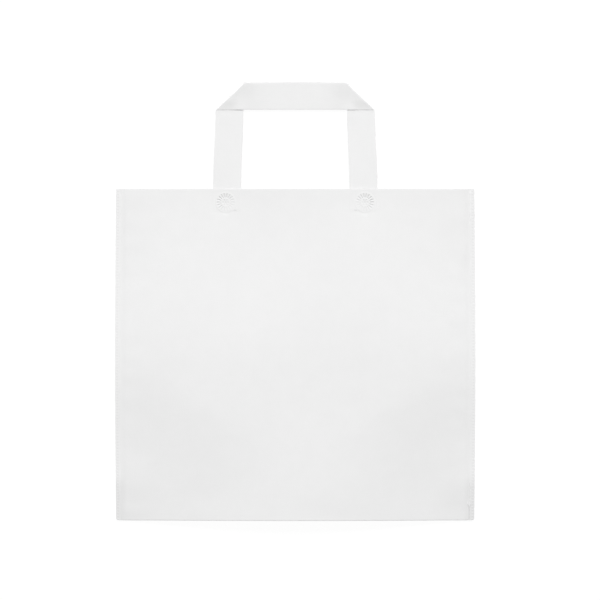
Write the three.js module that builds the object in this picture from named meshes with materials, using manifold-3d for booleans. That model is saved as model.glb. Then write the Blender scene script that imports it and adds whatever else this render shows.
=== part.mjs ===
// A non-woven shopping bag lying on its back panel: one folded and welded sheet and two loop handles.
// Millimetres, +Z up. X runs across the bag and Y from its bottom edge to its mouth and on to the handles.
import * as THREE from "three";
import { LoftGeometry } from "three/addons/geometries/LoftGeometry.js";
import { mergeGeometries, mergeVertices } from "three/addons/utils/BufferGeometryUtils.js";
import Module from "manifold-3d";

const { lerp, smoothstep } = THREE.MathUtils;

// The sheet and how it is folded
const BAG_WIDTH = 360;
const BAG_HEIGHT = 333;
const SHEET = 0.5;
const LAYER_GAP = 0.3;
const HEM_DEPTH = 35;
const GUSSET_DEPTH = 40;
const CORNER_RADIUS = 2.5;
const SIDE_BOW = 1;

// How far the front panel stands above a flat stack of layers along the middle of the bag, and its
// section: a full arch at the belly and the mouth, a narrow one at the bottom edge
const FOOT_LIFT = 12.5;
const BELLY_LIFT = 14;
const BELLY_HEIGHT = 155;
const MOUTH_LIFT = 8;
const BELLY_FULLNESS = 4;
const FOOT_NARROWING = 1.5;
const LAYER_RAMP = 60;

// The side seams stand off the table between the gusset and the hems, and draw the back panel's edges up
const SEAM_LIFT = 4.5;
const BACK_EDGE = 60;

// The front panel's lower corners are flat below a V that runs from both sides to the bottom middle
const CORNER_LINE_AT_SIDE = 145;
const CORNER_LINE_AT_MIDDLE = 58;

// Welded side seams
const SEAM_WIDTH = 5;
const SEAM_BITE = 1;
const WELDED_LAYER = 0.38;
const STITCH_PITCH = 8;
const STITCH_LENGTH = 5;
const STITCH_WIDTH = 1.6;
const STITCH_DEPTH = 0.16;

// Handle strips
const STRIP_WIDTH = 28;
const STRIP = 0.5;
const HANDLE_RISE = 107.5;
const LEG_SPACING_AT_MOUTH = 137;
const LEG_SPACING_AT_GRIP = 131;
const TAIL_LENGTH = 22;

// Round welds that hold the handles and the hem
const WELD_DROP = 12;
const WELD_OUTWARDS = 1.4;
const WELD_RADIUS = 9.3;
const RAY_COUNT = 18;
const RAY_INNER = 4.6;
const RAY_WIDTH = 0.9;
const PIP_COUNT = 6;
const PIP_RING = 2.2;
const PIP_SIZE = 1.3;
const WELD_DEPTH = 0.25;

// Fineness of the curved surfaces
const ACROSS_STEPS = 16;
const PANEL_STEPS = 6;
const SHORT_STEPS = 3;
const FOLD_STEPS = 4;
const LEG_STEPS = 6;
const WELD_SIDES = 24;

// Layers that lie flat on each other are one pitch apart, and the bag's own height is counted from its floor
const PITCH = SHEET + LAYER_GAP;
const STRIP_PITCH = STRIP + LAYER_GAP;
const layer = (count) => SHEET / 2 + count * PITCH;

const GRIP_TOP = BAG_HEIGHT + HANDLE_RISE;
const GRIP_BOTTOM = GRIP_TOP - STRIP_WIDTH;
const steps = (count) => Array.from({ length: count + 1 }, (_, index) => index / count);
const between = (count, from, to) => steps(count).map((t) => lerp(from, to, t));

// Where the middle of the sheet turns into its folds, and the heights at which the layers are sampled,
// closest where a hem or the gusset ends under a panel
const FOLD_REACH = PITCH / 2 + SHEET / 2;
const FOOT = FOLD_REACH;
const TOP = BAG_HEIGHT - FOLD_REACH;
const RIDGE = GUSSET_DEPTH - FOLD_REACH;
const HEM_END = BAG_HEIGHT - HEM_DEPTH;
const HEM_ROWS = between(SHORT_STEPS, HEM_END, TOP);
const GUSSET_ROWS = between(SHORT_STEPS, FOOT, RIDGE);
const PANEL_ROWS = [
  ...GUSSET_ROWS,
  ...between(SHORT_STEPS, GUSSET_DEPTH, GUSSET_DEPTH + LAYER_RAMP),
  ...between(PANEL_STEPS, GUSSET_DEPTH + LAYER_RAMP, HEM_END - LAYER_RAMP).slice(1, -1),
  ...between(SHORT_STEPS, HEM_END - LAYER_RAMP, HEM_END),
  ...HEM_ROWS.slice(1),
];

// Half the bag's width at a height, bowed out a little between its corners
const halfWidth = (y) => BAG_WIDTH / 2 + SIDE_BOW * Math.sin((Math.PI * y) / BAG_HEIGHT);
const panelHalfWidth = (y) => halfWidth(y) - SEAM_WIDTH;

// Layers under the front panel at the seams: the back panel alone, or two more in the gusset and in the hems
const FEWEST_LAYERS = 1;
const MOST_LAYERS = 3;
function layersBelow(y) {
  const gusset = 1 - smoothstep(y, GUSSET_DEPTH, GUSSET_DEPTH + LAYER_RAMP);
  const hems = smoothstep(y, HEM_END - LAYER_RAMP, HEM_END);
  return lerp(FEWEST_LAYERS, MOST_LAYERS, Math.max(gusset, hems));
}

// Lift of the side seams, highest at the belly and none in the gusset and the hems
function seamLift(y) {
  const rise = smoothstep(y, GUSSET_DEPTH, BELLY_HEIGHT);
  const fall = smoothstep(y, BELLY_HEIGHT, HEM_END);
  return SEAM_LIFT * (rise - fall);
}

// Lift of the front panel along the middle of the bag, from the bottom fold over the belly to the mouth
function middleLift(y) {
  if (y < BELLY_HEIGHT) {
    return lerp(FOOT_LIFT, BELLY_LIFT, Math.sin((Math.PI / 2) * (y / BELLY_HEIGHT)));
  }
  return lerp(BELLY_LIFT, MOUTH_LIFT, smoothstep(y, BELLY_HEIGHT, BAG_HEIGHT));
}

// Height up the bag of the V above the two flat lower corners
const cornerLine = (x) => lerp(CORNER_LINE_AT_MIDDLE, CORNER_LINE_AT_SIDE, Math.abs(x) / (BAG_WIDTH / 2));

// Middle of the front panel's thickness: an arch from the stacked layers at one seam to the other, whose
// section goes evenly from narrow at the bottom edge to full at the V and stays full above it
function frontHeight(x, y) {
  const across = Math.min(1, Math.abs(x) / panelHalfWidth(y));
  const footArch = Math.cos((Math.PI / 2) * across) ** FOOT_NARROWING;
  const bellyArch = 1 - across ** BELLY_FULLNESS;
  const arch = lerp(footArch, bellyArch, Math.min(1, y / cornerLine(x)));
  const atSeam = layer(layersBelow(y)) + seamLift(y);
  const atMiddle = layer(MOST_LAYERS) + middleLift(y);
  return lerp(atSeam, atMiddle, arch);
}

// Middle of the back panel's thickness: flat on the table, and smoothly up to the seams at its edges
function backHeight(x, y) {
  const edge = panelHalfWidth(y);
  return layer(0) + seamLift(y) * smoothstep(Math.abs(x), edge - BACK_EDGE, edge);
}

// A stretch of a section path at the given heights up the bag
const trace = (rows, height) => rows.map((y) => new THREE.Vector2(y, height(y)));

// A fold: a half circle at y from one height to the other, bulging towards +Y or -Y, without its end points
function fold(y, fromHeight, toHeight, bulge) {
  const centre = (fromHeight + toHeight) / 2;
  const radius = (fromHeight - toHeight) / 2;
  const reach = bulge * Math.abs(radius);
  return steps(FOLD_STEPS).slice(1, -1).map((t) => {
    const angle = Math.PI * t;
    return new THREE.Vector2(y + reach * Math.sin(angle), centre + radius * Math.cos(angle));
  });
}

// The closed outline of a sheet whose middle follows a path
function sheetOutline(path, thickness) {
  const offset = (side) =>
    path.map((point, index) => {
      const before = path[Math.max(index - 1, 0)];
      const after = path[Math.min(index + 1, path.length - 1)];
      const along = after.clone().sub(before).normalize();
      const outwards = new THREE.Vector2(-along.y, along.x);
      return point.clone().addScaledVector(outwards, (side * thickness) / 2);
    });
  return [...offset(-1), ...offset(1).reverse()];
}

// One section of the folded sheet at a share of the way across the panels: front hem, front panel,
// the two halves of the bottom gusset, back panel and back hem, with a fold between each and the next
function bagSection(across) {
  const front = (y) => frontHeight(across * panelHalfWidth(y), y);
  const frontHem = (y) => front(y) - PITCH;
  const back = (y) => backHeight(across * panelHalfWidth(y), y);
  const backHem = (y) => back(y) + PITCH;
  const ridgeHeight = (backHem(RIDGE) + frontHem(RIDGE)) / 2;
  const gusset = (foot, side) => (y) =>
    lerp(foot, ridgeHeight + (side * PITCH) / 2, (y - FOOT) / (RIDGE - FOOT));
  const gussetFront = gusset(frontHem(FOOT), 1);
  const gussetBack = gusset(backHem(FOOT), -1);
  const downwards = (rows) => [...rows].reverse();
  return [
    ...trace(HEM_ROWS, frontHem),
    ...fold(TOP, frontHem(TOP), front(TOP), 1),
    ...trace(downwards(PANEL_ROWS), front),
    ...fold(FOOT, front(FOOT), gussetFront(FOOT), -1),
    ...trace(GUSSET_ROWS, gussetFront),
    ...fold(RIDGE, gussetFront(RIDGE), gussetBack(RIDGE), 1),
    ...trace(downwards(GUSSET_ROWS), gussetBack),
    ...fold(FOOT, gussetBack(FOOT), back(FOOT), -1),
    ...trace(PANEL_ROWS, back),
    ...fold(TOP, back(TOP), backHem(TOP), 1),
    ...trace(downwards(HEM_ROWS), backHem),
  ];
}

// The whole folded sheet, lofted from one side seam to the other through sections that are closest there
function foldedSheet() {
  const shares = between(ACROSS_STEPS, -1, 1).map((t) => Math.sin((Math.PI / 2) * t));
  const bite = SEAM_BITE / panelHalfWidth(0);
  const sections = [-1 - bite, ...shares, 1 + bite].map((across) =>
    sheetOutline(bagSection(across), SHEET).map(
      (point) => new THREE.Vector3(across * panelHalfWidth(point.x), point.x, point.y),
    ),
  );
  return new LoftGeometry(sections, { capStart: true, capEnd: true });
}

// Where the pressed band of a side seam lies: its middle height and its thickness
function seamBand(y) {
  const count = layersBelow(y);
  const middle = (layer(0) + layer(count)) / 2 + seamLift(y);
  return { middle, thickness: (count + 1) * WELDED_LAYER };
}

// The welded band along one side, with rounded corners at the bottom of the bag
function seamGeometry(side) {
  const corner = steps(FOLD_STEPS).map((t) => (Math.PI / 2) * t);
  const cornerRows = corner.map((angle) => ({
    y: CORNER_RADIUS * (1 - Math.cos(angle)),
    inset: CORNER_RADIUS * (1 - Math.sin(angle)),
  }));
  const rowsAbove = PANEL_ROWS.filter((y) => y > CORNER_RADIUS);
  const straightRows = [...rowsAbove, BAG_HEIGHT].map((y) => ({ y, inset: 0 }));
  const sections = [...cornerRows, ...straightRows].map(({ y, inset }) => {
    const { middle, thickness } = seamBand(y);
    const inner = side * panelHalfWidth(y);
    const outer = side * (halfWidth(y) - inset);
    const low = middle - thickness / 2;
    const high = middle + thickness / 2;
    const ring = [
      new THREE.Vector3(inner, y, low),
      new THREE.Vector3(inner, y, high),
      new THREE.Vector3(outer, y, high),
      new THREE.Vector3(outer, y, low),
    ];
    return side > 0 ? ring : ring.reverse();
  });
  return new LoftGeometry(sections, { capStart: true, capEnd: true });
}

// Half the distance between the handle's legs, which sway in from the mouth to the grip
function legOffset(y) {
  const sway = smoothstep(y, BAG_HEIGHT, GRIP_BOTTOM);
  return lerp(LEG_SPACING_AT_MOUTH, LEG_SPACING_AT_GRIP, sway) / 2;
}

// One loop handle: a strip that runs up from inside the mouth, folds over at 45 degrees into the grip,
// crosses, and folds down again; tail gives its height in the mouth, and the rests where it lies outside
function handleGeometry(tail, legRest, gripRest) {
  const legWay = new THREE.Vector2(0, 1);
  const gripWay = new THREE.Vector2(1, 0);
  const foldOut = legWay.clone().sub(gripWay).normalize();
  const outerEdge = (y) => new THREE.Vector2(-legOffset(y) - STRIP_WIDTH / 2, y);
  const innerEdge = (y) => new THREE.Vector2(-legOffset(y) + STRIP_WIDTH / 2, y);

  const bend = (legRest - gripRest) / 2;
  const setback = (Math.abs(bend) + STRIP / 2) * Math.SQRT2;
  const legEnd = GRIP_BOTTOM - setback;
  const height = (point) => {
    const mouth = tail(point.x, Math.min(point.y, BAG_HEIGHT));
    return lerp(mouth, legRest, smoothstep(point.y, BAG_HEIGHT, legEnd));
  };

  const tailRows = between(SHORT_STEPS, BAG_HEIGHT - TAIL_LENGTH, BAG_HEIGHT);
  const legRows = between(LEG_STEPS, BAG_HEIGHT, legEnd - STRIP).slice(1);
  const legEdges = [...tailRows, ...legRows].map((y) =>
    [outerEdge(y), innerEdge(y)].map((point) => new THREE.Vector3(point.x, point.y, height(point))),
  );
  const foldEdges = steps(FOLD_STEPS * 2).map((t) => {
    const angle = Math.PI * t;
    const z = (legRest + gripRest) / 2 + bend * Math.cos(angle);
    return [outerEdge(GRIP_BOTTOM), innerEdge(GRIP_TOP)].map((corner) => {
      const point = corner
        .addScaledVector(legWay, -setback * (1 - t))
        .addScaledVector(gripWay, setback * t)
        .addScaledVector(foldOut, Math.abs(bend) * Math.sin(angle));
      return new THREE.Vector3(point.x, point.y, z);
    });
  });
  const leftHalf = [...legEdges, ...foldEdges];
  const mirrored = leftHalf
    .map((edges) => edges.map((point) => new THREE.Vector3(-point.x, point.y, point.z)))
    .reverse();
  return ribbonGeometry([...leftHalf, ...mirrored], STRIP);
}

// A strip of one thickness, lofted through pairs of edge points on its middle surface
function ribbonGeometry(edges, thickness) {
  const sections = edges.map(([left, right], index) => {
    const before = edges[Math.max(index - 1, 0)];
    const after = edges[Math.min(index + 1, edges.length - 1)];
    const along = new THREE.Vector3().add(after[0]).add(after[1]).sub(before[0]).sub(before[1]);
    const across = right.clone().sub(left);
    const up = across.cross(along).setLength(thickness / 2);
    return [left.clone().add(up), right.clone().add(up), right.clone().sub(up), left.clone().sub(up)];
  });
  return new LoftGeometry(sections, { capStart: true, capEnd: true });
}

const wasm = await Module();
wasm.setup();

// A closed geometry as a solid that can be joined and cut
function solid(geometry) {
  const plain = new THREE.BufferGeometry();
  plain.setAttribute("position", geometry.getAttribute("position"));
  plain.setIndex(geometry.getIndex());
  const merged = mergeVertices(plain);
  return new wasm.Manifold(
    new wasm.Mesh({
      numProp: 3,
      vertProperties: new Float32Array(merged.getAttribute("position").array),
      triVerts: new Uint32Array(merged.getIndex().array),
    }),
  );
}

// A solid back as a geometry
function geometryOf(body) {
  const { vertProperties, triVerts } = body.getMesh();
  const geometry = new THREE.BufferGeometry();
  geometry.setAttribute("position", new THREE.BufferAttribute(vertProperties, 3));
  geometry.setIndex(new THREE.BufferAttribute(triVerts, 1));
  geometry.computeVertexNormals();
  return geometry;
}

// The two sides of a round weld: the panel's outer face and the way from it to the hem behind it
const frontFace = {
  skin: (x, y) => frontHeight(x, y) + SHEET / 2,
  inwards: -1,
};
const backFace = {
  skin: () => 0,
  inwards: 1,
};

// Turns a geometry made round +Z so that it stands on a panel's face at a point
function seatOn(geometry, face, x, y) {
  const reach = WELD_RADIUS;
  const slopeX = (face.skin(x + reach, y) - face.skin(x - reach, y)) / (2 * reach);
  const slopeY = (face.skin(x, y) - face.skin(x, y - reach)) / reach;
  const normal = new THREE.Vector3(-slopeX, -slopeY, 1).normalize();
  const turn = new THREE.Quaternion().setFromUnitVectors(new THREE.Vector3(0, 0, 1), normal);
  return geometry.applyQuaternion(turn).translate(x, y, face.skin(x, y));
}

// Where the round welds lie on one face: on each leg, a little under the mouth and outside its middle
function weldPlaces() {
  const y = BAG_HEIGHT - WELD_DROP;
  const offset = legOffset(y) + WELD_OUTWARDS;
  return [-offset, offset].map((x) => ({ x, y }));
}

// The disc in which a panel and its hem are welded together, from the middle of one sheet to the other's
function weldDisc(face, { x, y }) {
  const disc = new THREE.CylinderGeometry(WELD_RADIUS, WELD_RADIUS, PITCH, WELD_SIDES);
  disc.rotateX(Math.PI / 2).translate(0, 0, face.inwards * (SHEET / 2 + PITCH / 2));
  return seatOn(disc, face, x, y);
}

// The pressed rosette of a round weld: a ring of radial bars round a ring of pips
function weldMarks(face, { x, y }) {
  const bars = steps(RAY_COUNT).slice(1).map((t) =>
    new THREE.BoxGeometry(WELD_RADIUS - RAY_INNER, RAY_WIDTH, WELD_DEPTH * 2)
      .translate((WELD_RADIUS + RAY_INNER) / 2, 0, 0)
      .rotateZ(2 * Math.PI * t),
  );
  const pips = steps(PIP_COUNT).slice(1).map((t) =>
    new THREE.BoxGeometry(PIP_SIZE, PIP_SIZE, WELD_DEPTH * 2)
      .translate(PIP_RING, 0, 0)
      .rotateZ(2 * Math.PI * t),
  );
  return [...bars, ...pips].map((mark) => seatOn(mark, face, x, y));
}

// The line of pressed dashes along a side seam, on its upper and lower face
function seamMarks(side) {
  const count = Math.floor(BAG_HEIGHT / STITCH_PITCH) - 1;
  const margin = (BAG_HEIGHT - count * STITCH_PITCH) / 2;
  const bareBand = SEAM_WIDTH - SEAM_BITE;
  return between(count, margin, BAG_HEIGHT - margin).flatMap((y) => {
    const { middle, thickness } = seamBand(y);
    const x = side * (halfWidth(y) - bareBand / 2);
    return [-1, 1].map((face) =>
      new THREE.BoxGeometry(STITCH_WIDTH, STITCH_LENGTH, STITCH_DEPTH * 2).translate(
        x,
        y,
        middle + (face * thickness) / 2,
      ),
    );
  });
}

// The bag: the folded sheet with its side seams and round welds fused, and their marks pressed in
function bagGeometry() {
  const welds = [frontFace, backFace].flatMap((face) => weldPlaces().map((place) => ({ face, place })));
  const joined = [
    seamGeometry(-1),
    seamGeometry(1),
    ...welds.map(({ face, place }) => weldDisc(face, place)),
  ].reduce((body, piece) => body.add(solid(piece)), solid(foldedSheet()));
  const marks = [
    ...welds.flatMap(({ face, place }) => weldMarks(face, place)),
    ...seamMarks(-1),
    ...seamMarks(1),
  ];
  return geometryOf(joined.subtract(solid(mergeGeometries(marks))));
}

const SHEET_FINISH = { color: 0xf0f0ef, roughness: 0.9, metalness: 0 };

function namedMesh(name, geometry) {
  const mesh = new THREE.Mesh(geometry, new THREE.MeshStandardMaterial(SHEET_FINISH));
  mesh.name = name;
  return mesh;
}

// In the mouth each handle lies against its hem; outside, one rests on the other, the back one lowest
const hemToStrip = SHEET / 2 + LAYER_GAP + STRIP / 2;
const frontTail = (x, y) => frontHeight(x, y) - PITCH - hemToStrip;
const backTail = () => layer(1) + hemToStrip;
const handleRest = (count) => STRIP / 2 + count * STRIP_PITCH;

const bag = new THREE.Group();
bag.position.y = -GRIP_TOP / 2;
bag.add(
  namedMesh("bag_body", bagGeometry()),
  namedMesh("front_handle", handleGeometry(frontTail, handleRest(2), handleRest(3))),
  namedMesh("back_handle", handleGeometry(backTail, handleRest(1), handleRest(0))),
);

const part = new THREE.Group();
part.add(bag);
export default part;
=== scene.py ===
import math

import bmesh
import bpy
import numpy as np
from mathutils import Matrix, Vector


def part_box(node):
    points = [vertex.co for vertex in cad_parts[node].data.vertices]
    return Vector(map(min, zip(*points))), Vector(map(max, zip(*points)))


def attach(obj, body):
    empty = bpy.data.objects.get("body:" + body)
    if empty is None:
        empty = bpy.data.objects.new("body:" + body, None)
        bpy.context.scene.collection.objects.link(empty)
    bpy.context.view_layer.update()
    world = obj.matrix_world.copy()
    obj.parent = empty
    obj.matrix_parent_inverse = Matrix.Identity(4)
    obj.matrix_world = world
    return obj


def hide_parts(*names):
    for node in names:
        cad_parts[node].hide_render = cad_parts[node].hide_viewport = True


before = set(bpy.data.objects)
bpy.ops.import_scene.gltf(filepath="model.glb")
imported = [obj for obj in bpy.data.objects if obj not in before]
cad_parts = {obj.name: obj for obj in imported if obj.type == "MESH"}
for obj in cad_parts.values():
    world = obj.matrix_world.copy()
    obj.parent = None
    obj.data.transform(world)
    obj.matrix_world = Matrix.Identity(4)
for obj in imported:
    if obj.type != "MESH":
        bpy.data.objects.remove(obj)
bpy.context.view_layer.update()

# A white non-woven shopping bag lying on its back panel, in metres and in the frame of the solids.
# X runs across the bag, Y from its bottom edge to the handles, Z up out of the front panel. Heights
# up the bag are counted from its bottom edge, and a mesh is moved to the bag's place as it is made.

BAG_LOW, BAG_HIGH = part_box("bag_body")
LOOP_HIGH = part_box("front_handle")[1]

# The sheet and how it is folded
SHEET = 0.0005
LAYER_GAP = 0.0003
PITCH = SHEET + LAYER_GAP
HEM_DEPTH = 0.035
GUSSET_DEPTH = 0.040
SIDE_BOW = 0.001
CORNER_RADIUS = 0.0025
BAG_HEIGHT = BAG_HIGH.y - BAG_LOW.y
HALF_WIDTH = BAG_HIGH.x - SIDE_BOW
FEWEST_LAYERS = 1
MOST_LAYERS = 3
LAYER_RAMP = 0.060
FOOT_CREASE = 0.4

# Lift of the front panel's middle over a flat stack of layers, and how full its arch is
FOOT_LIFT = 0.0135
BELLY_LIFT = BAG_HIGH.z - SHEET - MOST_LAYERS * PITCH
BELLY_UP = 0.155
MOUTH_LIFT = 0.008
BELLY_FULLNESS = 4.0
FOOT_NARROWING = 1.5

# Lift of the side seams off the table, and how far in they draw the back panel up
SEAM_LIFT = 0.0045
BACK_EDGE = 0.060

# The V, low in the middle and high at the sides, below which the lower corners are flat
CORNER_LINE_AT_SIDE = 0.164
CORNER_LINE_AT_MIDDLE = 0.058
CORNER_LINE_SOFTNESS = 0.10

# Slack of the front panel: waves by their lengths across and up, phase and height
SLACK_WAVES = (
    (0.23, 0.31, 0.6, 0.00035),
    (-0.17, 0.21, 2.1, 0.00022),
    (0.11, -0.19, 4.0, 0.00012),
)
SLACK_FOOT = 0.03

# Short puckers beside the side seams
PUCKER_HEIGHT = 0.00010
PUCKER_PITCH = 0.027
PUCKER_REACH = 0.008
PUCKER_DRIFT = 0.13
PUCKER_SWAY = 1.8

# Forked crease at the foot of the right seam
CREASE_INSIDE = 0.0003
CREASE_WIDTH = 0.0005
CREASE_HEIGHT = 0.0010
# The crease is greyed along its ridge: painted shade
CREASE_PAINTED_SHADE = 0.45
CREASE_FOOT = 0.004
CREASE_FORK = 0.0125
CREASE_TOP = 0.0175
CREASE_FADE = 0.0015
CREASE_SPREAD = 0.0016

# Welded side seams: a plain selvage outside a line of pressed dashes
SEAM_WIDTH = 0.005
SEAM_BITE = 0.0015
SEAM_SHOULDER = 0.0060
SEAM_SQUEEZE = 0.30
SEAM_LAP = 0.002
WELDED_LAYER = 0.00038
CUT_EDGE = 0.0008
CUT_EDGE_SHARE = 0.6
SELVAGE = 0.0012
DASH_PITCH = 0.003
DASH_WIDTH = 0.0016
DASH_DEPTH = 0.00014
DASH_START = -0.6
DASH_FULL = 0.1

# Pressed look of the seams, and painted shade at the lower corners by the gusset and on the fold at the
# mouth
DASH_TONE = 0.20
BAND_TONE = 0.02
# Painted shade at the lower corners: a darker band beside the seams and a wider soft shade, up to the
# gusset's top
GUSSET_BAND_PAINTED_SHADE = 0.20
GUSSET_BAND = 0.007
GUSSET_BAND_FADE = 0.018
GUSSET_WIDE_PAINTED_SHADE = 0.26
GUSSET_SHADE = 0.050
# The folds at the mouth are greyed fully: painted shade over the round that the lamp lights
MOUTH_FOLD_PAINTED_SHADE = 1.0

# Round welds that hold the handles and the hems
WELD_DROP = 0.0136
WELD_OUTWARDS = 0.0014
WELD_UP = BAG_HEIGHT - WELD_DROP
WELD_RADIUS = 0.0093
WELD_APRON = 0.0019
WELD_RIM = WELD_RADIUS + WELD_APRON
SEAT_START = 0.00949
SEAT_END = 0.01044
WELD_SEAT = 0.00034
WELD_DEPTH = 0.00030
WELD_TONE = 0.80
WELD_LEAN = (0.6, 0.8)
WELD_LIGHTEST = 0.12
WELD_WELT = 0.00014
WELT_START = 0.0040
WELD_SKIN = 0.00002
WELD_RIM_DEPTH = SHEET / 4
WELD_PULL = 0.0006
WELD_PULL_REACH = 0.018

# Rings of pressed marks: count, inner and outer radius, width of a mark, share of the full depth
WELD_MARKS = (
    (18, 0.0047, 0.0089, 0.00115, 1.0),
    (6, 0.0017, 0.0033, 0.0012, 0.7),
    (6, -0.0012, 0.0008, 0.0012, 1.0),
)
MARK_FLAT = 0.25
MARK_END = 0.7

# Handle strips
STRIP = 0.0005
STRIP_WIDTH = 0.028
STRIP_PITCH = STRIP + LAYER_GAP
TAIL_LENGTH = 0.022
LEG_SPACING_AT_MOUTH = 0.137
LEG_SPACING_AT_GRIP = 0.1322
FOLD_SPACING = 0.131
FOLD_RUN_IN = 0.0014
LEG_EASE = 0.1
GRIP_TOP = LOOP_HIGH.y - BAG_LOW.y
GRIP_BOTTOM = GRIP_TOP - STRIP_WIDTH
WELD_OFFSET = LEG_SPACING_AT_MOUTH / 2 + WELD_OUTWARDS
GRIP_BOW = 0.0009
GRIP_BOW_REACH = 0.055
FRONT_GRIP_DIP = (0.0006, 0.0022)
BACK_GRIP_DIP = (0.0, 0.0)
GRIP_DIP_START = 0.020
GRIP_DIP_END = 0.050
FOLD_GAP = 0.00006
FOLD_THICKNESS = 0.00028
FOLD_PRESS_START = 0.044
FOLD_PRESS_END = 0.0515
EDGE_CURL = 0.0005
EDGE_CURL_REACH = 0.007
BACK_LOOP_SHIFT = 0.0004

# Layers of strip under the legs and under the back grip
FRONT_LEG_LAYERS = 3
BACK_LEG_LAYERS = 1
BACK_GRIP_LAYERS = 0

# The strips' ends inside the mouth, which show through as a low step and a short mark
TAIL_STEP = 0.00010
TAIL_STEP_SOFTNESS = 0.0024
TAIL_MARK_OFFSET = 0.0612
TAIL_MARK_UP = 0.3115
TAIL_MARK_LENGTH = 0.0030
TAIL_MARK_WIDTH = 0.0011
TAIL_MARK_TONE = 0.70

# Humps of the front grip beside its folds: height, shares of the width, distances from its middle
FOLD_HUMPS = (
    (0.0010, 0.0, 0.42, 0.057, 0.064),
    (0.0005, 0.4, 1.0, 0.036, 0.048),
    (0.00025, 0.25, 0.0, 0.046, 0.053),
    (-0.00025, 0.25, 0.0, 0.058, 0.064),
)

# Spunbond: its whites, noise in waves a metre, bond points, tone, relief and gloss
BAG_LIGHT = 0.885
BAG_SHADE = 0.845
# The strips' whites are a little darker than the bag's: painted shade that offsets the light their
# sloped legs catch
STRIP_LIGHT = 0.857
STRIP_SHADE = 0.817
# Grey of pressed film, also used for painted shade at the lower corners, along the crease and on the
# folds at the mouth
FUSED_GREY_AND_PAINTED_SHADE = 0.70
CLOUD_SCALE = 55.0
CLOUD_DETAIL = 3.0
FIBRE_SCALE = 900.0
FIBRE_DETAIL = 2.0
FIBRE_STRETCH = 0.18
NOISE_ROUGHNESS = 0.6
BOND_PITCH_ACROSS = 0.0022
BOND_PITCH_ALONG = 0.0016
BOND_START = 0.35
BOND_FULL = 0.8
CLOUD_TONE = 0.5
FIBRE_TONE = 0.22
BOND_TONE = 0.12
DARKEST_TONE = -0.2
LIGHTEST_TONE = 0.9
FIBRE_RELIEF = 0.5
BOND_RELIEF = 0.6
RELIEF_STRENGTH = 0.35
RELIEF_DEPTH = 0.0001
SHEET_ROUGHNESS = 0.94
PRESSED_GLOSS = 0.3
BOND_GLOSS = 0.1
SHEET_SPECULAR = 0.12

# Lights, table and camera
LAMP_PLACE = (0.0, 14.0, 14.0)
LAMP_AIM = (0.0, 0.0, 0.0)
LAMP_SIZE = 8.0
LAMP_POWER = 3460.0
SURROUND = 0.385
TABLE_REACH = 6.0
TABLE_DROP = 0.0001
TABLE_WHITE = 0.92
TABLE_GLOW = 1.04
TABLE_GLOW_SHARE = 0.92
CAMERA_PLACE = (0.0048, 0.0012, 5.0)
CAMERA_VIEW_WIDTH = 0.6034
CAMERA_SENSOR = 36.0
CAMERA_FAR = 20.0

# Fineness of the grids
GRID_STEP = 0.0055
FINE_STEP = 0.0010
SEAM_STEP = 0.0008
CREASE_STEP = 0.0003
DASH_STEP = 0.0005
FOLD_ROWS = 9
BEND_ROWS = 17
STRIP_STEP = 0.003
STRIP_COLUMN = 0.00175
RING_STEP = 0.0003
SPOKE_STEPS = 216
SHARP_ANGLE = math.radians(50)
MERGE_DISTANCE = 1e-7


def smoothstep(value, start, end):
    """0 up to start, 1 from end on, and the cubic 3tt - 2ttt between them."""
    t = np.clip((value - start) / (end - start), 0.0, 1.0)
    return t * t * (3.0 - 2.0 * t)


def mix(start, end, share):
    """The value that lies a share of the way from start to end."""
    return start + (end - start) * share


def levelled(share, softness):
    """The share itself up to nearly 1, then a parabola that levels off at 1."""
    late = np.clip(share, 1.0 - softness, 1.0 + softness)
    parabola = 1.0 - (1.0 + softness - late) ** 2 / (4.0 * softness)
    return np.where(share < 1.0 - softness, share, parabola)


def spaced(start, end, step, windows=()):
    """Grid lines from start to end about a step apart, with closer ones in each window, which is
    given by its middle, its reach to either side and its own step."""
    lines = np.linspace(start, end, round((end - start) / step) + 1)
    for middle, reach, fine in windows:
        inside = np.linspace(middle - reach, middle + reach, round(2 * reach / fine) + 1)
        inside = inside[(inside >= start) & (inside <= end)]
        lines = np.concatenate([lines[np.abs(lines - middle) > reach], inside])
    return np.unique(np.concatenate([lines, [start, end]]))


def layer(count):
    """Height of the middle of a sheet that lies on a flat stack of so many others."""
    return SHEET / 2 + count * PITCH


FOLD_REACH = PITCH / 2 + SHEET / 2
FOOT = FOOT_CREASE * PITCH / 2 + SHEET / 2
TOP = BAG_HEIGHT - FOLD_REACH
RIDGE = GUSSET_DEPTH - FOLD_REACH
HEM_END = BAG_HEIGHT - HEM_DEPTH
SEAM_LEVEL_AT_CORNERS = (layer(0) + layer(MOST_LAYERS)) / 2
HEM_TO_STRIP = SHEET / 2 + LAYER_GAP + STRIP / 2
LEG_WAY = np.array([0.0, 1.0])
GRIP_WAY = np.array([1.0, 0.0])
FOLD_OUT = (LEG_WAY - GRIP_WAY) / math.sqrt(2.0)
MIRROR = np.array([-1.0, 1.0])


def half_width(up):
    """Half the bag's width: its corners' half width and a sine bow between them."""
    return HALF_WIDTH + SIDE_BOW * np.sin(np.pi * up / BAG_HEIGHT)


def panel_half_width(up):
    """Half the width between the side seams."""
    return half_width(up) - SEAM_WIDTH


def leg_offset(up):
    """Half the distance between a handle's legs, which sway smoothly from the mouth to the grip."""
    share = smoothstep(up, BAG_HEIGHT, GRIP_BOTTOM)
    return mix(LEG_SPACING_AT_MOUTH, LEG_SPACING_AT_GRIP, share) / 2


def layers_below(up):
    """Layers under the front panel at the seams: the back panel, and two more in gusset and hems."""
    gusset = 1.0 - smoothstep(up, GUSSET_DEPTH, GUSSET_DEPTH + LAYER_RAMP)
    hems = smoothstep(up, HEM_END - LAYER_RAMP, HEM_END)
    return mix(FEWEST_LAYERS, MOST_LAYERS, np.maximum(gusset, hems))


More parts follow.
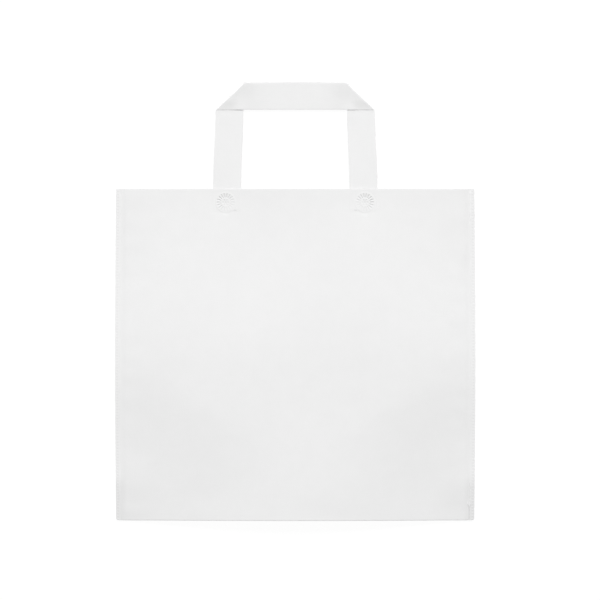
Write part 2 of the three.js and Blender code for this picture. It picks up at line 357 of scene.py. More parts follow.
def seam_level(up):
    """Height of the middle of a side seam: level in the gusset and the hems, and between them a
    smooth rise to the belly and fall from it."""
    rise = smoothstep(up, GUSSET_DEPTH, BELLY_UP)
    fall = smoothstep(up, BELLY_UP, HEM_END)
    return SEAM_LEVEL_AT_CORNERS + SEAM_LIFT * (rise - fall)


def middle_lift(up):
    """Lift along the middle of the bag: a quarter sine from the foot to the belly, then a smooth
    fall to the mouth."""
    rise = mix(FOOT_LIFT, BELLY_LIFT, np.sin(np.pi / 2 * np.clip(up / BELLY_UP, 0.0, 1.0)))
    fall = mix(BELLY_LIFT, MOUTH_LIFT, smoothstep(up, BELLY_UP, BAG_HEIGHT))
    return np.where(up < BELLY_UP, rise, fall)


def weld_distance(x, up):
    """Distance in plan from the middle of the nearer round weld."""
    return np.hypot(np.abs(x) - WELD_OFFSET, up - WELD_UP)


def slack(x, up):
    """Unevenness of the front panel: long sine waves that die out at the seams and the bottom fold,
    puckers that rise beside each seam and fade inwards, in a sine wave along the seam whose pitch
    drifts, and a dip round each weld."""
    across = np.clip(np.abs(x) / panel_half_width(up), 0.0, 1.0)
    loose = (1.0 - across**2) * smoothstep(up, 0.0, SLACK_FOOT)
    waves = sum(
        height * np.sin(2 * np.pi * (x / width + up / length) + phase)
        for width, length, phase, height in SLACK_WAVES
    )
    inwards = (1.0 - across) * panel_half_width(up) / PUCKER_REACH
    drift = PUCKER_SWAY * np.sin(2 * np.pi * up / PUCKER_DRIFT + np.sign(x))
    puckers = inwards * np.exp(1.0 - inwards) * np.sin(2 * np.pi * up / PUCKER_PITCH + drift)
    dips = np.exp(-((weld_distance(x, up) / WELD_PULL_REACH) ** 2))
    return waves * loose + PUCKER_HEIGHT * puckers - WELD_PULL * dips


def corner_crease(x, up):
    """Share of a small crease along the foot of the right seam: a bell-shaped ridge that forks at
    its top."""
    spread = CREASE_SPREAD * smoothstep(up, CREASE_FORK, CREASE_TOP)
    inside = panel_half_width(up) - x - CREASE_INSIDE
    ridge = np.exp(-(((np.abs(inside) - spread) / CREASE_WIDTH) ** 2))
    foot = smoothstep(up, 0.0, CREASE_FOOT)
    top = 1.0 - smoothstep(up, CREASE_TOP - CREASE_FADE, CREASE_TOP)
    return ridge * foot * top


def tail_step(x, up):
    """How far the end of a handle strip shows through the hem: a low flat step with soft sides."""
    beside = STRIP_WIDTH / 2 - np.abs(np.abs(x) - leg_offset(up))
    above = up - (BAG_HEIGHT - TAIL_LENGTH)
    inside = np.minimum(beside, above)
    return TAIL_STEP * smoothstep(inside, -TAIL_STEP_SOFTNESS / 2, TAIL_STEP_SOFTNESS / 2)


def tail_mark(x, up):
    """Share of the short grey mark where the end of a strip shows through the hem: a soft bar."""
    past_end = np.abs(np.abs(x) - TAIL_MARK_OFFSET) - TAIL_MARK_LENGTH / 2
    beside = np.abs(up - TAIL_MARK_UP)
    along = 1.0 - smoothstep(past_end, 0.0, TAIL_MARK_WIDTH)
    return along * (1.0 - smoothstep(beside, 0.0, TAIL_MARK_WIDTH))


def corner_line(x):
    """Height up the bag of the V above the two flat lower corners."""
    return mix(CORNER_LINE_AT_MIDDLE, CORNER_LINE_AT_SIDE, np.abs(x) / HALF_WIDTH)


def front_height(x, up):
    """Middle of the front panel: an arch from the stacked layers at the seams. From the bottom edge
    up to the V its section goes evenly from a narrow cosine power to a full power arch, which it
    then keeps. Slack, the crease and the strips' ends are added."""
    across = np.clip(np.abs(x) / panel_half_width(up), 0.0, 1.0)
    foot_arch = np.cos(np.pi / 2 * across) ** FOOT_NARROWING
    belly_arch = 1.0 - across**BELLY_FULLNESS
    arch = mix(foot_arch, belly_arch, levelled(up / corner_line(x), CORNER_LINE_SOFTNESS))
    at_seam = seam_level(up) + layers_below(up) * PITCH / 2
    at_middle = layer(MOST_LAYERS) + middle_lift(up)
    crease = CREASE_HEIGHT * corner_crease(x, up)
    return mix(at_seam, at_middle, arch) + slack(x, up) + crease + tail_step(x, up)


def back_height(x, up):
    """Middle of the back panel: flat on the table, and up to the seams near the sides."""
    inside = panel_half_width(up) - np.abs(x)
    at_seam = seam_level(up) - layers_below(up) * PITCH / 2
    return mix(at_seam, layer(0), smoothstep(inside, 0.0, BACK_EDGE))


def front_hem_height(x, up):
    """Middle of the hem turned in behind the front panel."""
    return front_height(x, up) - PITCH


def back_hem_height(x, up):
    """Middle of the hem turned in over the back panel."""
    return back_height(x, up) + PITCH


def front_tail_height(x, up):
    """Middle of the front strip's ends, behind the front hem."""
    return front_hem_height(x, up) - HEM_TO_STRIP


def back_tail_height(x, up):
    """Middle of the back strip's ends, over the back hem."""
    return back_hem_height(x, up) + HEM_TO_STRIP


def seam_thickness(up):
    """Thickness of the pressed band along a side seam: all its layers as thin as they are welded."""
    return (layers_below(up) + 1.0) * WELDED_LAYER


def gusset_painted_shade(x, up):
    """Painted shade of the lower corners, from the bottom edge to the gusset's top: a narrow band
    beside and in the seams, and a wide soft shade."""
    inside = panel_half_width(up) - np.abs(x)
    fade = GUSSET_BAND_FADE / 2
    low = 1.0 - smoothstep(up, GUSSET_DEPTH - fade, GUSSET_DEPTH + fade)
    band = GUSSET_BAND_PAINTED_SHADE * (1.0 - smoothstep(inside, 0.0, GUSSET_BAND))
    shade = GUSSET_WIDE_PAINTED_SHADE * (1.0 - smoothstep(inside, 0.0, GUSSET_SHADE))
    return low * (band + shade)


def surface_normal(points):
    """Unit normals of a grid of points: rows' direction crossed with columns' direction."""
    along = np.gradient(points, axis=0)
    across = np.gradient(points, axis=1)
    normal = np.cross(along, across)
    return normal / np.linalg.norm(normal, axis=-1, keepdims=True)


def run_length(line):
    """Distance along a line of points, from its first."""
    steps = np.linalg.norm(np.diff(line, axis=0), axis=-1)
    return np.concatenate([[0.0], np.cumsum(steps)])


def quads_between(first, second, third, fourth):
    """Faces whose four corners are taken from four arrays of corner numbers."""
    return np.stack([first, second, third, fourth], axis=-1).reshape(-1, 4)


def wall_quads(rows, columns, round_disc):
    """Corner numbers of a closed wall's faces: the outer grid, the inner grid turned over, and the
    rims between them. On a round disc the columns close on themselves and the first row is a
    point."""
    number = np.arange(2 * rows * columns).reshape(2, rows, columns)
    if round_disc:
        number = np.concatenate([number, number[:, :, :1]], axis=2)
    outer, inner = number
    faces = [
        quads_between(outer[:-1, :-1], outer[1:, :-1], outer[1:, 1:], outer[:-1, 1:]),
        quads_between(inner[:-1, :-1], inner[:-1, 1:], inner[1:, 1:], inner[1:, :-1]),
        quads_between(outer[-1, 1:], outer[-1, :-1], inner[-1, :-1], inner[-1, 1:]),
    ]
    if not round_disc:
        faces.append(quads_between(outer[0, :-1], outer[0, 1:], inner[0, 1:], inner[0, :-1]))
        faces.append(quads_between(outer[1:, 0], outer[:-1, 0], inner[:-1, 0], inner[1:, 0]))
        faces.append(quads_between(outer[:-1, -1], outer[1:, -1], inner[1:, -1], inner[:-1, -1]))
    return np.concatenate(faces)


def merge_doubles(mesh):
    """Joins the points of a disc's first row, which all lie in one place."""
    shape = bmesh.new()
    shape.from_mesh(mesh)
    bmesh.ops.remove_doubles(shape, verts=shape.verts, dist=MERGE_DISTANCE)
    shape.to_mesh(mesh)
    shape.free()


def wall_piece(name, outer, inner, flat, pressed_and_painted_shade, finish, round_disc=False):
    """A closed thin wall between two grids of points, with the flat pattern's metres as its UV map
    and, as an attribute, how far each point of the outer grid is greyed by pressing and by painted
    shade."""
    rows, columns = outer.shape[:2]
    points = np.concatenate([outer.reshape(-1, 3), inner.reshape(-1, 3)])
    points = points + np.array([0.0, BAG_LOW.y, 0.0])
    quads = wall_quads(rows, columns, round_disc)
    mesh = bpy.data.meshes.new(name)
    mesh.vertices.add(len(points))
    mesh.vertices.foreach_set("co", points.ravel())
    mesh.loops.add(quads.size)
    mesh.loops.foreach_set("vertex_index", quads.ravel())
    mesh.polygons.add(len(quads))
    mesh.polygons.foreach_set("loop_start", np.arange(0, quads.size, 4))
    mesh.update(calc_edges=True)
    pattern = np.tile(flat.reshape(-1, 2), (2, 1))
    mesh.uv_layers.new(name="flat").uv.foreach_set("vector", pattern[quads.ravel()].ravel())
    marks = np.concatenate([pressed_and_painted_shade.ravel(), np.zeros(rows * columns)])
    mesh.attributes.new("pressed_and_painted_shade", "FLOAT", "POINT").data.foreach_set("value", marks)
    if round_disc:
        merge_doubles(mesh)
    mesh.polygons.foreach_set("use_smooth", np.ones(len(mesh.polygons), dtype=bool))
    mesh.set_sharp_from_angle(angle=SHARP_ANGLE)
    mesh.materials.append(finish)
    piece = bpy.data.objects.new(name, mesh)
    bpy.context.scene.collection.objects.link(piece)
    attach(piece, "root")
    return piece


def stretch(heights_up, across, height):
    """A stretch of the folded sheet: a grid of points at the given heights up the bag and shares of
    the way across, with the height above the table that the function gives."""
    up = np.repeat(heights_up[:, None], len(across), axis=1)
    x = across * panel_half_width(up)
    return np.stack([x, up, height(x, up)], axis=-1)


def fold(last, first, bulge):
    """A fold: half ellipses from the last row of one stretch to the first row of the next, bulging
    towards the mouth or the bottom by a share of half their height."""
    angle = np.linspace(0.0, np.pi, FOLD_ROWS + 2)[1:-1, None]
    middle = (last[:, 2] + first[:, 2]) / 2
    radius = (last[:, 2] - first[:, 2]) / 2
    up = last[:, 1] + bulge * np.abs(radius) * np.sin(angle)
    height = middle + radius * np.cos(angle)
    x = np.broadcast_to(last[:, 0], height.shape)
    return np.stack([x, up, height], axis=-1)


def into_seams(points):
    """Draws the layers together where they enter the side seams: heights over the band's middle are
    multiplied by a share that falls smoothly from 1 inside the panel."""
    x, up, height = points[..., 0], points[..., 1], points[..., 2]
    inside = panel_half_width(up) - np.abs(x)
    share = mix(SEAM_SQUEEZE, 1.0, smoothstep(inside, -SEAM_BITE, SEAM_SHOULDER))
    return np.stack([x, up, mix(seam_level(up), height, share)], axis=-1)


def gusset_half(start, side):
    """Height of one half of the gusset: straight from its fold at the bottom edge to the ridge
    between the panels, on its own side of it."""
    def height(x, up):
        ridge = (layer(1) + front_hem_height(x, RIDGE)) / 2 + side * PITCH / 2
        return mix(start(x, FOOT), ridge, (up - FOOT) / (RIDGE - FOOT))
    return height


def sheet_columns():
    """Grid lines across the sheet as shares of the way to the seams and a little beyond them: evenly
    spaced, and closer at the welds, beside the seams and at the crease."""
    half = panel_half_width(0.0)
    end = 1.0 + SEAM_BITE / half
    weld_reach = (STRIP_WIDTH / 2 + TAIL_STEP_SOFTNESS) / half
    seam_reach = (SEAM_SHOULDER + SEAM_STEP) / half
    crease_reach = (CREASE_SPREAD + 2 * CREASE_WIDTH) / half
    at_welds = [(side * WELD_OFFSET / half, weld_reach, FINE_STEP / half) for side in (-1, 1)]
    at_seams = [(side, seam_reach, SEAM_STEP / half) for side in (-1, 1)]
    at_crease = (1.0 - CREASE_INSIDE / half, crease_reach, CREASE_STEP / half)
    return spaced(-end, end, GRID_STEP / half, [*at_welds, *at_seams, at_crease])


def sheet_runs(across):
    """The sheet's stretches with a fold between each and the next, in their order along the sheet."""
    tail_window = (BAG_HEIGHT - TAIL_LENGTH / 2, TAIL_LENGTH / 2 + TAIL_STEP_SOFTNESS, FINE_STEP)
    crease_window = (CREASE_TOP / 2, CREASE_TOP / 2, FINE_STEP)
    panel_up = spaced(FOOT, TOP, GRID_STEP, [tail_window, crease_window])
    hem_up = spaced(HEM_END, TOP, GRID_STEP)
    gusset_up = spaced(FOOT, RIDGE, GRID_STEP)
    front_hem = stretch(hem_up, across, front_hem_height)
    front = stretch(panel_up[::-1], across, front_height)
    gusset_front = stretch(gusset_up, across, gusset_half(front_hem_height, 1))
    gusset_back = stretch(gusset_up[::-1], across, gusset_half(back_hem_height, -1))
    back = stretch(panel_up, across, back_height)
    back_hem = stretch(hem_up[::-1], across, back_hem_height)
    return {
        "front_hem": front_hem,
        "front_top_fold": fold(front_hem[-1], front[0], 1),
        "front": front,
        "front_foot_fold": fold(front[-1], gusset_front[0], -FOOT_CREASE),
        "gusset_front": gusset_front,
        "ridge_fold": fold(gusset_front[-1], gusset_back[0], 1),
        "gusset_back": gusset_back,
        "back_foot_fold": fold(gusset_back[-1], back[0], -FOOT_CREASE),
        "back": back,
        "back_top_fold": fold(back[-1], back_hem[0], 1),
        "back_hem": back_hem,
    }


def sheet_faces(middle, rows_of):
    """Outer and inner face of the sheet: half its thickness to either side along its normals. The
    inside of a bottom fold is the fold drawn towards its axis, and a round seat is sunk into both
    panels under each weld."""
    reach = surface_normal(middle) * SHEET / 2
    outer = middle + reach
    inner = middle - reach
    for name in ("front_foot_fold", "back_foot_fold"):
        rows = rows_of[name]
        axis = (middle[rows.start - 1] + middle[rows.stop]) / 2
        inner[rows] = mix(axis, middle[rows], 1.0 - SHEET / PITCH)
    for name, inwards in (("front", -1), ("back", 1)):
        face = outer[rows_of[name]]
        distance = weld_distance(face[..., 0], face[..., 1])
        face[..., 2] += inwards * WELD_SEAT * (1.0 - smoothstep(distance, SEAT_START, SEAT_END))
    return outer, inner


def sheet_marks_and_painted_shade(outer, middle, rows_of):
    """How far the sheet is greyed: painted shade at the lower corners of both panels, along the crease
    and over the folds at the mouth, and the marks of the strips' ends on the front panel."""
    pressed_and_painted_shade = np.zeros(middle.shape[:2])
    # Painted shade at the lower corners of both panels
    for name in ("front", "back"):
        face = outer[rows_of[name]]
        pressed_and_painted_shade[rows_of[name]] = gusset_painted_shade(face[..., 0], face[..., 1])
    front = middle[rows_of["front"]]
    # Painted shade along the crease
    pressed_and_painted_shade[rows_of["front"]] += CREASE_PAINTED_SHADE * corner_crease(front[..., 0], front[..., 1])
    pressed_and_painted_shade[rows_of["front"]] += TAIL_MARK_TONE * tail_mark(front[..., 0], front[..., 1])
    # Painted shade over the whole of both folds at the mouth
    for name in ("front_top_fold", "back_top_fold"):
        pressed_and_painted_shade[rows_of[name]] = MOUTH_FOLD_PAINTED_SHADE
    return pressed_and_painted_shade


def bag_sheet(finish):
    """The bag's one sheet: front hem, front panel, both halves of the bottom gusset, back panel and
    back hem with their folds, drawn together into the side seams and then given its thickness."""
    across = sheet_columns()
    runs = sheet_runs(across)
    ends = np.cumsum([len(run) for run in runs.values()])
    rows_of = {name: slice(end - len(run), end) for (name, run), end in zip(runs.items(), ends)}
    middle = into_seams(np.concatenate(list(runs.values())))
    outer, inner = sheet_faces(middle, rows_of)
    pressed_and_painted_shade = sheet_marks_and_painted_shade(outer, middle, rows_of)
    length = run_length(middle[:, middle.shape[1] // 2])
    flat = np.stack([middle[..., 0], np.repeat(length[:, None], len(across), axis=1)], axis=-1)
    return wall_piece("bag_sheet", outer, inner, flat, pressed_and_painted_shade, finish)


def side_seam(name, side, finish):
    """The welded band along one side: an upper and a lower face a welded thickness apart, thinner at
    the cut edge, with a line of pressed dashes where a cosine wave is high, a rounded corner at the
    bottom of the bag, and the crease that runs on over the right one."""
    depth = SEAM_WIDTH + SEAM_LAP
    up = spaced(0.0, BAG_HEIGHT, DASH_STEP)[:, None]
    inwards = np.linspace(0.0, depth, round(depth / DASH_STEP) + 1)[::side]
    below = np.clip(1.0 - up / CORNER_RADIUS, 0.0, 1.0)
    inset = CORNER_RADIUS * (1.0 - np.sqrt(1.0 - below**2))
    x = side * mix(half_width(up) - inset, half_width(up) - depth, inwards / depth)
    up = np.broadcast_to(up, x.shape)
    from_edge = half_width(up) - np.abs(x)
    from_line = np.abs(from_edge - SELVAGE - DASH_WIDTH / 2)
    beside = smoothstep(from_line, DASH_WIDTH / 2 - DASH_STEP, DASH_WIDTH / 2 + DASH_STEP)
    along = smoothstep(np.cos(2 * np.pi * up / DASH_PITCH), DASH_START, DASH_FULL)
    dashes = along * (1.0 - beside)
    cut = mix(CUT_EDGE_SHARE, 1.0, smoothstep(from_edge, 0.0, CUT_EDGE))
    half = seam_thickness(up) / 2 * cut - DASH_DEPTH * dashes
    crease = corner_crease(x, up)
    ridge = SEAM_SQUEEZE * CREASE_HEIGHT * crease
    upper = np.stack([x, up, seam_level(up) + half + ridge], axis=-1)
    lower = np.stack([x, up, seam_level(up) - half], axis=-1)
    flat = np.stack([x, up], axis=-1)
    # Pressed dashes and band, with painted shade at the lower corners and along the crease
    pressed_and_painted_shade = BAND_TONE + DASH_TONE * dashes + gusset_painted_shade(x, up) + CREASE_PAINTED_SHADE * crease
    return wall_piece(name, upper, lower, flat, pressed_and_painted_shade, finish)


def ring_of_marks(radius, angle, count, start, end, width):
    """A ring of pressed radial marks: 1 near the nearest of so many equally spaced spokes between the
    two radii, and 0 outside, with soft shoulders. A mark is flat up to one share of its width from its
    spoke and ends at another. An inner radius below zero fills the middle."""
    turn = angle * count / (2 * np.pi)
    sideways = np.abs(turn - np.round(turn)) * 2 * np.pi / count * radius
    mark = 1.0 - smoothstep(sideways, MARK_FLAT * width, MARK_END * width)
    soft = width / 2
    past_start = smoothstep(radius, start - soft, start + soft)
    past_end = smoothstep(radius, end - soft, end + soft)
    return mark * past_start * (1.0 - past_end)


def weld_rosette(name, x, face, finish):
    """A round weld: a disc over the seat in the panel, in polar rings and spokes, with rings of
    pressed marks and, on the front, a low welt between them. The marks grow from light to full the
    way that the press leans, outwards and to the mouth. The apron lies a hair outside the panel and
    hides the seat's border."""
    radius = np.linspace(0.0, WELD_RIM, round(WELD_RIM / RING_STEP) + 1)[:, None]
    angle = np.linspace(0.0, 2 * np.pi, SPOKE_STEPS, endpoint=False)[None, :]
    across = x + radius * np.cos(angle)
    up = WELD_UP + face * radius * np.sin(angle)
    on_front = face > 0
    skin = front_height(across, up) + SHEET / 2 if on_front else np.zeros(across.shape)
    marks = [share * ring_of_marks(radius, angle, *sizes) for *sizes, share in WELD_MARKS]
    lean = WELD_LEAN[0] * math.copysign(1.0, x) * (across - x) + WELD_LEAN[1] * (up - WELD_UP)
    press = mix(WELD_LIGHTEST, 1.0, smoothstep(lean, -WELD_RADIUS, WELD_RADIUS))
    pressed_and_painted_shade = press * np.maximum.reduce(marks)
    ring = smoothstep(radius, 0.0, WELT_START) * (1.0 - smoothstep(radius, WELD_RADIUS, WELD_RIM))
    welt = WELD_WELT * ring * (1.0 - pressed_and_painted_shade) if on_front else 0.0
    relief = WELD_SKIN + welt - WELD_DEPTH * pressed_and_painted_shade
    depth = mix(WELD_SEAT + 2 * WELD_SKIN, WELD_RIM_DEPTH, smoothstep(radius, SEAT_END, WELD_RIM))
    upper = np.stack([across, up, skin + face * relief], axis=-1)
    lower = np.stack([across, up, skin - face * depth], axis=-1)
    flat = np.stack([across, up], axis=-1)
    return wall_piece(name, upper, lower, flat, WELD_TONE * pressed_and_painted_shade, finish, round_disc=True)


def handle_rest(count):
    """Height of the middle of a strip that lies on so many layers of strip."""
    return STRIP / 2 + count * STRIP_PITCH


def fold_humps(humps, share, x):
    """Height of the grip's humps: each rises smoothly between two shares of the strip's width and two
    distances from the middle of the grip. The shares fall for a lip at the lower edge, and a height
    below zero takes a hump back further out."""
    return sum(
        height * smoothstep(share, low, high) * smoothstep(np.abs(x), near, far)
        for height, low, high, near, far in humps
    )


def fold_corner(side):
    """Where the line of the left fold meets an edge of the strip in plan: the outer edge of the leg, on
    side -1, at the bottom of the grip, and its inner edge at the top."""
    up = GRIP_TOP if side > 0 else GRIP_BOTTOM
    return np.array([side * STRIP_WIDTH / 2 - FOLD_SPACING / 2, up])


def strip_edge(side, roll, setback, leg_up, turn):
    """One edge of a handle's strip in plan: up the left leg, over the bend, across the grip, and down
    the right leg as a mirror image. The bend goes straight from a setback below its corner to a
    setback beside it, and bulges outwards as half a sine wave."""
    leg = np.stack([side * STRIP_WIDTH / 2 - leg_offset(leg_up), leg_up], axis=-1)
    bend = GRIP_WAY * setback * turn - LEG_WAY * setback * (1.0 - turn)
    bend = bend + FOLD_OUT * roll * np.sin(np.pi * turn)
    left = np.concatenate([leg, fold_corner(side) + bend])
    right = (left * MIRROR)[::-1]
    across_grip = spaced(0.0, 1.0, STRIP_STEP / FOLD_SPACING)[1:-1, None]
    return np.concatenate([left, mix(left[-1], right[0], across_grip), right])


def leg_height(x, up, share, tail_height, rest, end):
    """Height of a handle's legs: an even fall from the mouth to their rest, eased by a sine wave, with
    the outer edge curled up between the two."""
    along = np.clip((up - BAG_HEIGHT) / (end - BAG_HEIGHT), 0.0, 1.0)
    fall = along - LEG_EASE * np.sin(2 * np.pi * along) / (2 * np.pi)
    curl = EDGE_CURL * (1.0 - smoothstep(share * STRIP_WIDTH, 0.0, EDGE_CURL_REACH))
    level = mix(tail_height(x, np.minimum(up, BAG_HEIGHT)), rest, fall)
    return level + curl * np.sin(np.pi * along) ** 2


def grip_height(x, share, rest, grip_dip, humps):
    """Height of a handle's grip: a dip from its folds to its middle, by a depth at its lower and one at
    its upper edge, and humps beside the folds."""
    dip = mix(*grip_dip, share) * (1.0 - smoothstep(np.abs(x), GRIP_DIP_START, GRIP_DIP_END))
    return rest - dip + fold_humps(humps, share, x)


def strip_thickness(x, share, legs):
    """Thickness of a handle's strip: thinner at its cut edges, and pressed thinner in its folds, at the
    ends of the grip and in the last row of each leg."""
    at_fold = smoothstep(np.abs(x), FOLD_PRESS_START, FOLD_PRESS_END)
    at_fold[:legs - 1] = 0.0
    at_fold[1 - legs:] = 0.0
    from_cut = np.minimum(share, 1.0 - share) * STRIP_WIDTH
    cut = mix(CUT_EDGE_SHARE, 1.0, smoothstep(from_cut, 0.0, CUT_EDGE))
    return mix(STRIP, FOLD_THICKNESS, at_fold) * cut


def loop_handle(name, tail_height, leg_rest, grip_rest, grip_dip, humps, shift, finish):
    """A handle: a strip from inside the mouth up one leg, over a bend along a 45 degree line into the
    grip, across, and down the other leg as a mirror image. It lies between its two edges in plan, whose
    bends are as round as the layers are apart there, and in a bend its height goes from leg to grip
    as half a cosine wave. The grip's upper edge bows down towards the folds."""
    edge = CUT_EDGE / STRIP_WIDTH
    at_cuts = [(cut, edge, edge / 2) for cut in (0.0, 1.0)]
    share = spaced(0.0, 1.0, STRIP_COLUMN / STRIP_WIDTH, at_cuts)
    hump_height = max((height for height, *_ in humps), default=0.0)
    apart = abs(grip_rest - leg_rest)
    rolls = np.array([apart, apart + hump_height]) / 2
    setbacks = (rolls + FOLD_THICKNESS / 2) * math.sqrt(2.0)
    leg_end = GRIP_BOTTOM - setbacks[0] - FOLD_RUN_IN
    leg_up = spaced(BAG_HEIGHT - TAIL_LENGTH, leg_end, STRIP_STEP)
    turn = np.linspace(0.0, 1.0, BEND_ROWS)[:, None]
    edges = [
        strip_edge(side, roll, setback, leg_up, turn)
        for side, roll, setback in zip((-1, 1), rolls, setbacks)
    ]
    plan = mix(edges[0][:, None], edges[1][:, None], share[:, None])
    x, up = plan[..., 0], plan[..., 1]
    bend_end = mix(fold_corner(-1)[0], fold_corner(1)[0], share) + mix(*setbacks, share)
    bend_rest = grip_rest + fold_humps(humps, share, bend_end)
    bend = mix(leg_rest, bend_rest, (1.0 - np.cos(np.pi * turn)) / 2)
    leg = leg_height(x, up, share, tail_height, leg_rest, leg_end)
    height = grip_height(x, share, grip_rest, grip_dip, humps)
    legs, bends = len(leg_up), len(turn)
    height[:legs] = leg[:legs]
    height[-legs:] = leg[-legs:]
    height[legs:legs + bends] = bend
    height[-legs - bends:-legs] = bend[::-1]
    drop = GRIP_BOW * smoothstep(np.abs(x), 0.0, GRIP_BOW_REACH) * smoothstep(up, leg_end, GRIP_TOP)
    middle = np.stack([x, up - drop + shift, height], axis=-1)
    reach = surface_normal(middle) * strip_thickness(x, share, legs)[..., None] / 2
    length = run_length(middle[:, len(share) // 2])
    flat = np.stack(np.broadcast_arrays(share * STRIP_WIDTH, length[:, None]), axis=-1)
    pressed_and_painted_shade = np.zeros(middle.shape[:2])
    return wall_piece(name, middle + reach, middle - reach, flat, pressed_and_painted_shade, finish)


class Value:
    """One output of a node. Arithmetic on it adds Math nodes to its graph."""

    def __init__(self, graph, socket):
        self.graph = graph
        self.socket = socket

    def __add__(self, other):
        return self.graph.math("ADD", self, other)

    def __sub__(self, other):
        return self.graph.math("SUBTRACT", self, other)

    def __rsub__(self, other):
        return self.graph.math("SUBTRACT", other, self)

    def __mul__(self, other):
        return self.graph.math("MULTIPLY", self, other)

    __radd__ = __add__
    __rmul__ = __mul__

    def output(self, name):
        """Another output of the same node."""
        return Value(self.graph, self.socket.node.outputs[name])

    def ramp(self, start, end):
        """0 below start and 1 above end, smooth between."""
        return self.graph.node(
            "ShaderNodeMapRange",
            {"interpolation_type": "SMOOTHSTEP"},
            {"Value": self, "From Min": start, "From Max": end},
        )


class NodeGraph:
    """The node tree of a material or a world that is being made."""

    def __init__(self, owner):
        owner.use_nodes = True
        self.tree = owner.node_tree
        self.tree.nodes.clear()

    def node(self, kind, settings, sockets, output=0):
        """Adds a node: its settings first, then the values and links of its sockets."""
        made = self.tree.nodes.new(kind)
        for name, setting in settings.items():
            setattr(made, name, setting)
        for name, value in sockets.items():
            if isinstance(value, Value):
                self.tree.links.new(value.socket, made.inputs[name])
            else:
                made.inputs[name].default_value = value
        return Value(self, made.outputs[output]) if made.outputs else None

    def math(self, operation, *values):
        """Adds a Math node with the given operation."""
        return self.node("ShaderNodeMath", {"operation": operation}, dict(enumerate(values)))

    def colour_mix(self, share, first, second):
        """The colour that lies a share of the way from the first to the second."""
        return self.node(
            "ShaderNodeMix",
            {"data_type": "RGBA"},
            {"Factor": share, "A": first, "B": second},
            output="Result",
        )

    def seen_directly(self):
        """1 for rays from the camera, in reflections and through clear things, and 0 for others."""
        camera_ray = self.node("ShaderNodeLightPath", {}, {}, output="Is Camera Ray")
        mirrored = self.math("MAXIMUM", camera_ray, camera_ray.output("Is Glossy Ray"))
        return self.math("MAXIMUM", mirrored, camera_ray.output("Is Transmission Ray"))


def grey(level):
    """A neutral colour."""
    return (level, level, level, 1.0)


def spunbond(name, light, shade):
    """White spunbond sheet: cloudy fibre layers between two near whites, a staggered lattice of small
    bond points, fine crossing fibres, and pressed places and places of painted shade that are greyer
    and smoother. The lattice is where the product of a cosine wave across and one along the sheet is
    high."""
    material = bpy.data.materials.new(name)
    graph = NodeGraph(material)
    flat = graph.node("ShaderNodeUVMap", {"uv_map": "flat"}, {})
    across = graph.node("ShaderNodeSeparateXYZ", {}, {"Vector": flat})
    along = across.output("Y")
    pressed_and_painted_shade = graph.node("ShaderNodeAttribute", {"attribute_name": "pressed_and_painted_shade"}, {}, output="Fac")

    def noise(scale, detail, stretch_across=1.0, stretch_along=1.0):
        """Flat noise on the sheet's pattern, drawn out along one way where its factor is below 1."""
        stretches = (stretch_across, stretch_along, 1.0)
        place = graph.node("ShaderNodeMapping", {}, {"Vector": flat, "Scale": stretches})
        return graph.node(
            "ShaderNodeTexNoise",
            {"noise_dimensions": "2D"},
            {"Vector": place, "Scale": scale, "Detail": detail, "Roughness": NOISE_ROUGHNESS},
            output="Fac",
        )

    clouds = noise(CLOUD_SCALE, CLOUD_DETAIL)
    fibres_along = noise(FIBRE_SCALE, FIBRE_DETAIL, stretch_along=FIBRE_STRETCH)
    fibres_across = noise(FIBRE_SCALE, FIBRE_DETAIL, stretch_across=FIBRE_STRETCH)
    fibres = fibres_along + fibres_across
    wave_across = graph.math("COSINE", across * (2 * np.pi / BOND_PITCH_ACROSS))
    wave_along = graph.math("COSINE", along * (2 * np.pi / BOND_PITCH_ALONG))
    bonds = (wave_across * wave_along).ramp(BOND_START, BOND_FULL)
    tone = clouds * CLOUD_TONE + fibres * FIBRE_TONE - bonds * BOND_TONE
    sheet = graph.colour_mix(tone.ramp(DARKEST_TONE, LIGHTEST_TONE), grey(shade), grey(light))
    bump = graph.node(
        "ShaderNodeBump",
        {},
        {
            "Strength": RELIEF_STRENGTH,
            "Distance": RELIEF_DEPTH,
            "Height": fibres * FIBRE_RELIEF - bonds * BOND_RELIEF,
        },
    )
    shader = graph.node(
        "ShaderNodeBsdfPrincipled",
        {},
        {
            # Pressed marks and painted shade both grey the sheet here
            "Base Color": graph.colour_mix(pressed_and_painted_shade, sheet, grey(FUSED_GREY_AND_PAINTED_SHADE)),
            "Roughness": SHEET_ROUGHNESS - pressed_and_painted_shade * PRESSED_GLOSS - bonds * BOND_GLOSS,
            "Specular IOR Level": SHEET_SPECULAR,
            "Normal": bump,
        },
    )
    graph.node("ShaderNodeOutputMaterial", {}, {"Surface": shader})
    return material


def table_white():
    """Pale matte table: plain white to light, and near white to the camera, with the shadow kept."""
    material = bpy.data.materials.new("table_white")
    graph = NodeGraph(material)
    matte = graph.node("ShaderNodeBsdfDiffuse", {}, {"Color": grey(TABLE_WHITE)})
    glow = graph.node("ShaderNodeEmission", {}, {"Color": grey(1.0), "Strength": TABLE_GLOW})
    share = graph.seen_directly() * TABLE_GLOW_SHARE
    surface = graph.node("ShaderNodeMixShader", {}, {0: share, 1: matte, 2: glow})
    graph.node("ShaderNodeOutputMaterial", {}, {"Surface": surface})
    return material


def table():
    """A large square table top just under the bag."""
    signs = ((-1, -1), (1, -1), (1, 1), (-1, 1))
    corners = [(x * TABLE_REACH, y * TABLE_REACH, -TABLE_DROP) for x, y in signs]
    mesh = bpy.data.meshes.new("table_top")
    mesh.from_pydata(corners, [], [(0, 1, 2, 3)])
    mesh.materials.append(table_white())
    top = bpy.data.objects.new("table_top", mesh)
    bpy.context.scene.collection.objects.link(top)


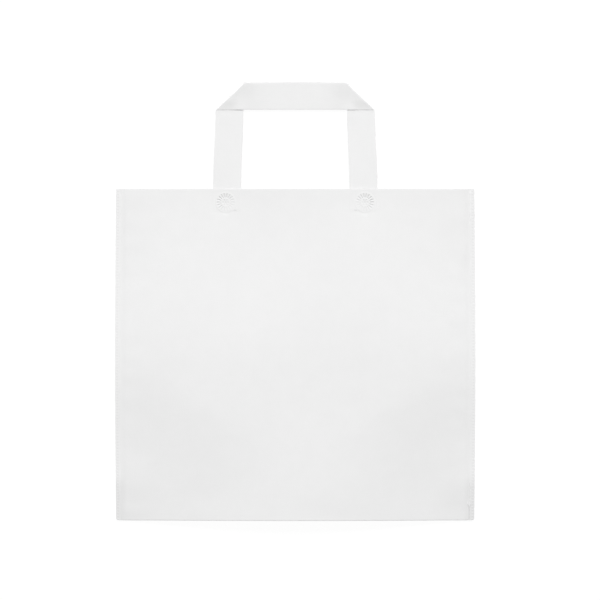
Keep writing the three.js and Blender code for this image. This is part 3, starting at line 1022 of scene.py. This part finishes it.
def softbox():
    """A large square lamp, high and far beyond the mouth of the bag, which faces the bag."""
    lamp = bpy.data.lights.new("softbox", "AREA")
    lamp.shape = "SQUARE"
    lamp.size = LAMP_SIZE
    lamp.energy = LAMP_POWER
    holder = bpy.data.objects.new("softbox", lamp)
    holder.location = LAMP_PLACE
    way = np.array(LAMP_AIM) - np.array(LAMP_PLACE)
    tilt = math.atan2(math.hypot(way[0], way[1]), -way[2])
    holder.rotation_euler = (tilt, 0.0, math.atan2(-way[0], way[1]))
    bpy.context.scene.collection.objects.link(holder)


def surround():
    """Even white light from all round, and plain white where it is seen."""
    world = bpy.data.worlds.new("white_surround")
    graph = NodeGraph(world)
    strength = SURROUND + graph.seen_directly() * (1.0 - SURROUND)
    light = graph.node("ShaderNodeBackground", {}, {"Color": grey(1.0), "Strength": strength})
    graph.node("ShaderNodeOutputWorld", {}, {"Surface": light})
    bpy.context.scene.world = world


def camera():
    """Looks straight down from a distance, with the bag upright in the picture."""
    lens = bpy.data.cameras.new("straight_down")
    lens.sensor_width = CAMERA_SENSOR
    lens.lens = CAMERA_SENSOR * CAMERA_PLACE[2] / CAMERA_VIEW_WIDTH
    lens.clip_end = CAMERA_FAR
    holder = bpy.data.objects.new("straight_down", lens)
    holder.location = CAMERA_PLACE
    bpy.context.scene.collection.objects.link(holder)
    bpy.context.scene.camera = holder


camera()
softbox()
surround()
table()
bpy.context.scene.view_settings.view_transform = "Standard"

SHEET_WHITE = spunbond("bag_spunbond", BAG_LIGHT, BAG_SHADE)
# A darker copy of the bag's spunbond for the strips: painted shade
STRIP_WHITE_PAINTED_SHADE = spunbond("strip_spunbond_painted_shade", STRIP_LIGHT, STRIP_SHADE)

bag = bag_sheet(SHEET_WHITE)
seams = [side_seam("side_seam_left", -1, SHEET_WHITE), side_seam("side_seam_right", 1, SHEET_WHITE)]
rosettes = [
    weld_rosette(f"weld_rosette_{face_name}_{side_name}", side * WELD_OFFSET, face, SHEET_WHITE)
    for face_name, face in (("front", 1), ("back", -1))
    for side_name, side in (("left", -1), ("right", 1))
]
front_loop = loop_handle(
    "front_loop",
    front_tail_height,
    leg_rest=handle_rest(FRONT_LEG_LAYERS),
    grip_rest=handle_rest(FRONT_LEG_LAYERS) + FOLD_THICKNESS + FOLD_GAP,
    grip_dip=FRONT_GRIP_DIP,
    humps=FOLD_HUMPS,
    shift=0.0,
    finish=STRIP_WHITE_PAINTED_SHADE,
)
back_loop = loop_handle(
    "back_loop",
    back_tail_height,
    leg_rest=handle_rest(BACK_LEG_LAYERS),
    grip_rest=handle_rest(BACK_GRIP_LAYERS),
    grip_dip=BACK_GRIP_DIP,
    humps=(),
    shift=BACK_LOOP_SHIFT,
    finish=STRIP_WHITE_PAINTED_SHADE,
)

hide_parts("bag_body")
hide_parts("front_handle")
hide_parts("back_handle")
